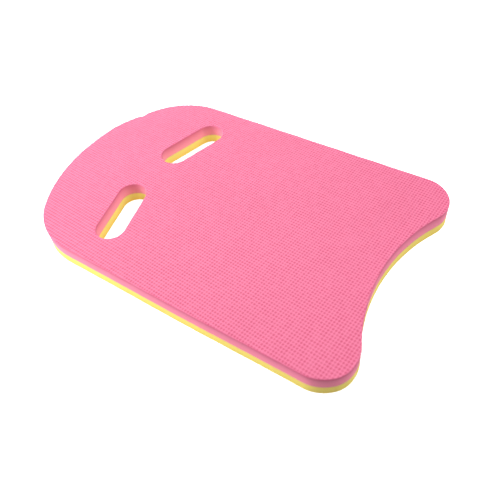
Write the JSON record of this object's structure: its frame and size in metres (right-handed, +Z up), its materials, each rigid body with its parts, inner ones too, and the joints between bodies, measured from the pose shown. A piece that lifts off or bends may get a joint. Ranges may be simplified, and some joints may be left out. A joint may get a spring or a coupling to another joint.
{
  "type": "swimming kickboard",
  "caption": "Flat foam swimming board with a round nose, a hollowed tail and a pair of angled hand slots, laminated from two colours of foam.",
  "frame": {"origin": "on the underside, at the middle of the board's length and width", "axes": "+X runs from the round nose to the hollowed tail, +Z is up out of the pink face, +Y is to the right of a swimmer who looks towards the nose with the pink face up. The board is mirror symmetric about the XZ plane"},
  "size_m": [0.45, 0.297, 0.027],
  "materials": {
    "pink_foam": "matte closed-cell EVA foam with an embossed grid of small pits",
    "adhesive": "thin translucent adhesive, seen only as a fine line at the cut edge",
    "yellow_foam": "matte closed-cell EVA foam with an embossed grid of small pits"
  },
  "bodies": {
    "root": {"upper_foam_sheet": "pink_foam", "bond_film": "adhesive", "lower_foam_sheet": "yellow_foam"}
  },
  "joints": []
}
